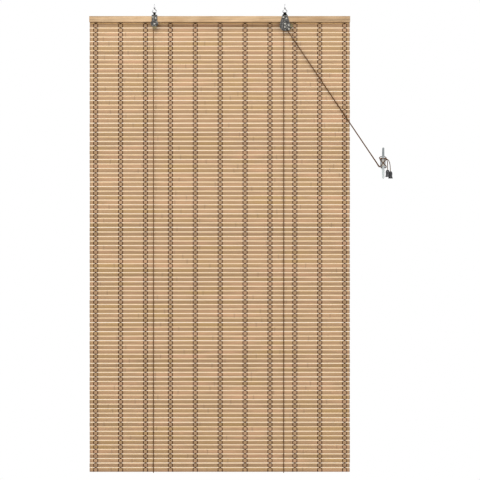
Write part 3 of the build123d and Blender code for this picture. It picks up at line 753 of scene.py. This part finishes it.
def cord_curve(name, points, radius, finish):
    """One open smooth cord through its route's control points."""
    line = bpy.data.curves.new(name, "CURVE")
    line.dimensions = "3D"
    line.bevel_depth = radius
    line.bevel_resolution = 3
    line.resolution_u = 8
    line.use_fill_caps = True
    spline = line.splines.new("NURBS")
    spline.points.add(len(points) - 1)
    for point, place in zip(spline.points, points):
        point.co = (*place, 1.0)
    spline.order_u = 3
    spline.use_endpoint_u = True
    line.materials.append(finish)
    return place_piece(name, line)


def knot_piece(name, top, radius, finish):
    """A tied knot: a short length of cord turned through itself under the knob's bore."""
    line = bpy.data.curves.new(name, "CURVE")
    line.dimensions = "3D"
    line.bevel_depth = radius * KNOT_CORD
    line.bevel_resolution = 2
    spline = line.splines.new("NURBS")
    spline.points.add(KNOT_POINTS - 1)
    for index, point in enumerate(spline.points):
        angle = 2 * math.pi * index / KNOT_POINTS
        reach = radius * (KNOT_REACH + KNOT_SWING * math.cos(3 * angle))
        point.co = (
            top[0] + reach * math.cos(2 * angle),
            top[1] + reach * math.sin(2 * angle),
            top[2] - radius * KNOT_DROP + radius * KNOT_RISE * math.sin(3 * angle),
            1.0,
        )
    spline.order_u = 4
    spline.use_cyclic_u = True
    curve = place_piece(name + "_line", line)
    mesh = plain_mesh(curve)
    bpy.data.objects.remove(curve)
    mesh.materials.clear()
    mesh.materials.append(finish)
    return place_piece(name, mesh)


class BLIND_OT_stage(bpy.types.Operator):
    """Sets up the camera, the lamps, the white surroundings and the floor"""

    bl_idname = "blind.stage"
    bl_label = "Stage"

    def execute(self, context):
        scene = context.scene
        scene.view_settings.view_transform = "Standard"
        lens = bpy.data.cameras.new("camera")
        lens.lens = CAMERA_LENS
        lens.sensor_width = SENSOR_WIDTH
        camera = place_piece("camera", lens)
        camera.location = CAMERA_PLACE
        camera.rotation_euler = (math.radians(90.0), 0.0, 0.0)
        scene.camera = camera
        for lamp in LAMPS:
            self.lamp(*lamp)
        self.surroundings(scene)
        self.floor()
        return {"FINISHED"}

    def lamp(self, name, place, target, width, power):
        """A square lamp that faces its target."""
        light = bpy.data.lights.new(name, "AREA")
        light.size = width
        light.energy = power
        lamp = place_piece(name, light)
        lamp.location = place
        facing = Vector(target) - Vector(place)
        lamp.rotation_euler = facing.to_track_quat("-Z", "Y").to_euler()

    def surroundings(self, scene):
        """White to the camera, brighter from below in the gloss, and dim as light on the object."""
        world = bpy.data.worlds.new("white_studio")
        world.use_nodes = True
        scene.world = world
        tree = world.node_tree
        tree.nodes.clear()
        rays = put(tree, "ShaderNodeLightPath").outputs
        heading = put(tree, "ShaderNodeSeparateXYZ")
        facing = put(tree, "ShaderNodeTexCoord").outputs["Generated"]
        join(tree, facing, heading.inputs["Vector"])
        sweep = spread(tree, heading.outputs["Z"], (-0.6, 0.6), (1.4, 0.6))
        mirrored = count(tree, "MULTIPLY", rays["Is Glossy Ray"], sweep)
        strength = count(tree, "MAXIMUM", rays["Is Camera Ray"], mirrored)
        strength = count(tree, "MAXIMUM", strength, ROOM_LIGHT)
        white = put(tree, "ShaderNodeBackground")
        white.inputs["Color"].default_value = (1.0, 1.0, 1.0, 1.0)
        join(tree, strength, white.inputs["Strength"])
        output = put(tree, "ShaderNodeOutputWorld")
        join(tree, white.outputs["Background"], output.inputs["Surface"])

    def floor(self):
        """A pale floor well below the mat."""
        mesh = bpy.data.meshes.new("floor")
        level = cad_low.z - FLOOR_DROP
        (left, right), (near, far) = FLOOR_X, FLOOR_Y
        corners = [
            (left, near, level),
            (right, near, level),
            (right, far, level),
            (left, far, level),
        ]
        mesh.from_pydata(corners, [], [(0, 1, 2, 3)])
        finish, _, shader = new_finish("pale_floor")
        shader.inputs["Base Color"].default_value = FLOOR_COLOUR
        shader.inputs["Roughness"].default_value = 0.8
        mesh.materials.append(finish)
        place_piece("floor", mesh)


class BLIND_OT_cords(bpy.types.Operator):
    """Lays the two pull cords from the lock to the cleat, round it and down to their knobs"""

    bl_idname = "blind.cords"
    bl_label = "Cords"

    def execute(self, context):
        radius = sizes().cord_radius
        finish = cord_finish()
        dress(finish, "left_lift_cord", "right_lift_cord")
        routes = (
            ("left", LEFT_EXIT, LEFT_TURNS, LEFT_END, LEFT_LENGTH),
            ("right", RIGHT_EXIT, RIGHT_TURNS, RIGHT_END, RIGHT_LENGTH),
        )
        for side, start, turns, end, length in routes:
            corners = [(CLEAT_X + x * MM, y * MM, CLEAT_Z + z * MM) for x, y, z in turns]
            first, last = Vector(start), Vector(corners[0])
            step = (last - first).normalized() * (LEAD_IN * radius)
            route = [start, tuple(first + step), tuple(last - step), *corners, end]
            piece = cord_curve(side + "_pull_cord_line", route, radius, finish)
            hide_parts(side + "_pull_cord")
            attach(piece, "blind")
            knot = knot_piece(side + "_cord_knot", end, radius, finish)
            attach(knot, "blind")
        return {"FINISHED"}


class BLIND_OT_slats(bpy.types.Operator):
    """Repeats one bamboo slat down the mat, each with its own tint, length and lie"""

    bl_idname = "blind.slats"
    bl_label = "Slats"

    def execute(self, context):
        pitch, tall, play = sizes().slat_pitch, sizes().slat_height, sizes().end_play
        piece = repeat_piece(
            "bamboo_slats",
            self.one_slat(mat_high.x - play * PLAY_ROOM),
            repeat_tree("slats_down_the_mat", "slat_tint"),
            {
                "Count": sizes().slat_count,
                "Start": (0.0, 0.0, mat_high.z - 1.5 * tall + pitch),
                "Step": (0.0, 0.0, -pitch),
                "First Drop": pitch - tall,
                "Play": (play, 0.0, SLAT_SETTLE),
                "Turn": (math.radians(SLAT_TILT), 0.0, 0.0),
                "Wave": SLAT_WAVE,
                "Top": mat_high.z,
                "Bottom": mat_low.z,
                "Seed": SLAT_SEED,
                "Finish": bamboo_finish(),
            },
        )
        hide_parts("slat_mat")
        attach(piece, "blind")
        return {"FINISHED"}

    def profile(self):
        """The slat's cross section, round from the top of its face."""
        half = sizes().slat_height / 2
        front = mat_low.y
        back = front + sizes().slat_thickness
        upper_face = [(front + depth, half - inset) for depth, inset in FRONT_EDGE]
        lower_face = [(y, -z) for y, z in reversed(upper_face)]
        upper_back = [(back - depth, half - inset) for depth, inset in BACK_EDGE]
        lower_back = [(y, -z) for y, z in reversed(upper_back)]
        return upper_face + lower_face + lower_back + upper_back

    def one_slat(self, reach):
        """One slat with rounded edges and ends."""
        half = sizes().slat_height / 2
        steps = range(SLAT_STATIONS + 1)
        shares = [STRAIGHT_SHARE * (2 * step / SLAT_STATIONS - 1) for step in steps]
        stations = [(share * reach, 0.0) for share in shares]
        for inset, narrowing in SLAT_ENDS:
            stations += [(inset - reach, narrowing), (reach - inset, narrowing)]
        stations.sort()
        mesh = bpy.data.meshes.new("one_slat")
        shell = bmesh.new()
        across = shell.verts.layers.float.new("slat_across")
        rings = []
        for x, narrowing in stations:
            ring = []
            for y, z in self.profile():
                corner = shell.verts.new((x, y, z * (1 - narrowing / half)))
                corner[across] = z / half
                ring.append(corner)
            rings.append(ring)
        skin_rings(shell, rings)
        shell.faces.new(rings[0])
        shell.faces.new(list(reversed(rings[-1])))
        bmesh.ops.recalc_face_normals(shell, faces=shell.faces)
        shell.to_mesh(mesh)
        shell.free()
        return mesh


class BLIND_OT_weave(bpy.types.Operator):
    """Ties the slats with eleven columns of crossing warp thread"""

    bl_idname = "blind.weave"
    bl_label = "Weave"

    def execute(self, context):
        finish = thread_finish()
        tree = repeat_tree("ties_down_the_mat")
        pitch = sizes().slat_pitch
        first_gap = mat_high.z - 1.5 * sizes().slat_height + pitch / 2
        for index, node in enumerate(thread_columns):
            from_middle = index - (len(thread_columns) - 1) / 2
            piece = repeat_piece(
                "warp_weave_%02d" % (index + 1),
                self.one_tie(),
                tree,
                {
                    "Count": sizes().slat_count - 1,
                    "Start": (COLUMN_SHIFT + COLUMN_PITCH * from_middle, 0.0, first_gap),
                    "Step": (0.0, 0.0, -pitch),
                    "Finish": finish,
                },
            )
            self.finish_strands(piece.data)
            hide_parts(node)
            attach(piece, "blind")
        return {"FINISHED"}

    def finish_strands(self, mesh):
        """Joins the ties into strands, runs them to the hem and ends the front ones at the rail."""
        shell = bmesh.new()
        shell.from_mesh(mesh)
        bmesh.ops.remove_doubles(shell, verts=shell.verts, dist=SAME_PLACE)
        lowest = min(corner.co.z for corner in shell.verts)
        ends = [
            edge
            for edge in shell.edges
            if edge.is_boundary and edge.verts[0].co.z < lowest + END_BAND
        ]
        grown = bmesh.ops.extrude_edge_only(shell, edges=ends)["geom"]
        tails = [part for part in grown if isinstance(part, bmesh.types.BMVert)]
        fall = mat_low.z + STRAND_CLEARANCE - lowest
        bmesh.ops.translate(shell, verts=tails, vec=(0.0, 0.0, fall))
        middle = mat_low.y + sizes().slat_thickness / 2
        parts = set()
        for face in shell.faces:
            if all(corner.co.y < middle for corner in face.verts):
                parts.update((*face.verts, *face.edges, face))
        bmesh.ops.bisect_plane(
            shell,
            geom=list(parts),
            plane_co=(0.0, 0.0, rail_underside - STRAND_CLEARANCE),
            plane_no=(0.0, 0.0, 1.0),
            clear_outer=True,
        )
        bmesh.ops.holes_fill(shell, edges=shell.edges)
        bmesh.ops.recalc_face_normals(shell, faces=shell.faces)
        for face in shell.faces:
            face.smooth = True
        shell.to_mesh(mesh)
        shell.free()

    def one_tie(self):
        """The four strands of one crossing, from the middle of a slat to the middle of the next."""
        aside, half = sizes().strand_spread, sizes().slat_pitch / 2
        deep = sizes().strand_depth / 2
        front = mat_low.y - deep
        back = mat_low.y + sizes().slat_thickness + deep
        centre = (front + back) / 2
        strands = (
            (front, 1, -OUTER_CROSSING),
            (front, -1, -INNER_CROSSING),
            (back, 1, OUTER_CROSSING),
            (back, -1, INNER_CROSSING),
        )
        mesh = bpy.data.meshes.new("one_tie")
        shell = bmesh.new()
        for face, way, over in strands:
            route = [
                (-aside, face, half),
                (-aside, face, UPRIGHT_END * half),
                (-SLOPE_X * aside, face, SLOPE_Z * half),
                (0.0, centre + over, 0.0),
                (SLOPE_X * aside, face, -SLOPE_Z * half),
                (aside, face, -UPRIGHT_END * half),
                (aside, face, -half),
            ]
            self.strand(shell, [Vector(place) for place in route], way)
        shell.to_mesh(mesh)
        shell.free()
        return mesh

    def strand(self, shell, route, way):
        """One flat strand along its route, mirrored where its way is minus one."""
        wide, deep = sizes().strand_width / 2, sizes().strand_depth / 2
        rings = []
        for number, (place, swell) in enumerate(zip(route, TIE_WIDTHS)):
            before = route[max(number - 1, 0)]
            after = route[min(number + 1, len(route) - 1)]
            run = (after - before).normalized()
            across = run.cross(Vector((0, 1, 0))).normalized()
            outward = across.cross(run).normalized()
            ring = []
            for corner in range(STRAND_SIDES):
                angle = 2 * math.pi * corner / STRAND_SIDES
                sidelong = across * (swell * wide * math.cos(angle))
                spot = place + sidelong + outward * (deep * math.sin(angle))
                ring.append(shell.verts.new((way * spot.x, spot.y, spot.z)))
            rings.append(ring)
        skin_rings(shell, rings)


class BLIND_OT_rail(bpy.types.Operator):
    """Gives the head rail its planed wood"""

    bl_idname = "blind.rail"
    bl_label = "Head Rail"

    def execute(self, context):
        dress(rail_finish(), "head_rail")
        return {"FINISHED"}


class BLIND_OT_hardware(bpy.types.Operator):
    """Finishes the hooks, hangers, cord lock, rivets, screws, staples and cleat"""

    bl_idname = "blind.hardware"
    bl_label = "Hardware"

    def execute(self, context):
        rivets = ("left_yoke_rivet", "upper_axle", "lower_axle", "cam_pivot", "guide_post")
        plated = tuple(colours().plated)
        bright = metal_finish("bright_plating", plated, (0.12, 0.28), shade(plated, 0.7))
        dress(bright, *rivets, "hanger_screws", "cleat_screws", "mat_staples", "cord_staples")
        self.hooks()
        self.hangers(rivets)
        brass = tuple(colours().brass)
        aged = metal_finish("aged_brass", brass, (0.3, 0.5), shade(brass, 0.6))
        dress(aged, "left_yoke", "lock_back_plate", "lock_cam", "left_axle")
        dress(aged, "left_wheel", "upper_wheel", "lower_wheel")
        self.cleat()
        return {"FINISHED"}

    def hooks(self):
        """Plated hooks with painted shade on the collar and a painted highlight on the shank."""
        hook = paint(168, 168, 170)
        # Painted shade on the collar, painted highlight on the shank
        shade_and_highlight_bands = ((COLLAR_SHADE_BAND, paint(38, 38, 40)), (SHANK_HIGHLIGHT_BAND, paint(206, 206, 208)))
        finish = metal_finish(
            "hook_plating", hook, (0.15, 0.3), shade(hook, 0.45), shade_and_highlight_bands=shade_and_highlight_bands
        )
        dress(finish, "ceiling_hooks")

    def hangers(self, rivets):
        """Dark mottled plates with pale patches, painted shade for the eye, and painted shade round
        the heads of rivets and screws.
        """
        steel = tuple(colours().steel)
        rings = []
        for name in rivets:
            low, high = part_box(name)
            middle = (low + high) / 2
            rings.append((middle.x, middle.z, RIVET_SHADE_REACH))
        for line in HOOK_LINES:
            rings += [(line + x, z, SCREW_SHADE_REACH) for x, z in SCREW_HEADS]
        finish = metal_finish(
            "dark_hanger_steel",
            steel,
            (0.22, 0.42),
            shade(steel, 0.28),
            rings=rings,
            # Painted shade for the eye
            shade_and_highlight_bands=((EYE_SHADE_BAND, paint(18, 18, 17)),),
            pale_patches=paint(176, 174, 168),
        )
        dress(finish, "left_hanger", "right_hanger")

    def cleat(self):
        """Satin metal, with a painted darker reflection on the upper horn and a painted bright
        reflection on the lower one.
        """
        metal = tuple(colours().cleat)
        # Painted reflections: darker on the upper horn, brighter on the lower one
        painted_reflection_fades = (
            ((CLEAT_Z + 0.012, CLEAT_Z + 0.024), paint(126, 131, 132)),
            ((CLEAT_Z - 0.016, CLEAT_Z - 0.024), paint(184, 190, 188)),
        )
        finish = metal_finish(
            "satin_cleat_metal", metal, (0.25, 0.45), shade(metal, 0.78), painted_reflection_fades=painted_reflection_fades
        )
        dress(finish, "cleat")


class BLIND_OT_knobs(bpy.types.Operator):
    """Gives the two cord knobs their black plastic"""

    bl_idname = "blind.knobs"
    bl_label = "Knobs"

    def execute(self, context):
        dress(knob_finish(), "left_knob", "right_knob")
        return {"FINISHED"}


class BLIND_PT_panel(bpy.types.Panel):
    """Lists the steps that build the blind"""

    bl_idname = "BLIND_PT_panel"
    bl_label = "Bamboo Blind"
    bl_space_type = "VIEW_3D"
    bl_region_type = "UI"
    bl_category = "Blind"

    def draw(self, context):
        column = self.layout.column()
        for step in STEPS:
            column.operator(step.bl_idname)
        for group in (context.scene.blind_sizes, context.scene.blind_colours):
            for name in group.bl_rna.properties.keys():
                if name not in ("rna_type", "name"):
                    column.prop(group, name)


STEPS = (
    BLIND_OT_stage,
    BLIND_OT_cords,
    BLIND_OT_slats,
    BLIND_OT_weave,
    BLIND_OT_rail,
    BLIND_OT_hardware,
    BLIND_OT_knobs,
)
CLASSES = (BlindSizes, BlindColours, *STEPS, BLIND_PT_panel)


def register():
    """Registers the classes and hangs the settings on the scene."""
    for kind in CLASSES:
        bpy.utils.register_class(kind)
    bpy.types.Scene.blind_sizes = bpy.props.PointerProperty(type=BlindSizes)
    bpy.types.Scene.blind_colours = bpy.props.PointerProperty(type=BlindColours)


def unregister():
    """Takes back what register did."""
    del bpy.types.Scene.blind_colours
    del bpy.types.Scene.blind_sizes
    for kind in reversed(CLASSES):
        bpy.utils.unregister_class(kind)


def main():
    """Builds everything in order."""
    register()
    bpy.ops.blind.stage()
    bpy.ops.blind.cords()
    bpy.ops.blind.slats()
    bpy.ops.blind.weave()
    bpy.ops.blind.rail()
    bpy.ops.blind.hardware()
    bpy.ops.blind.knobs()


if __name__ == "__main__":
    main()
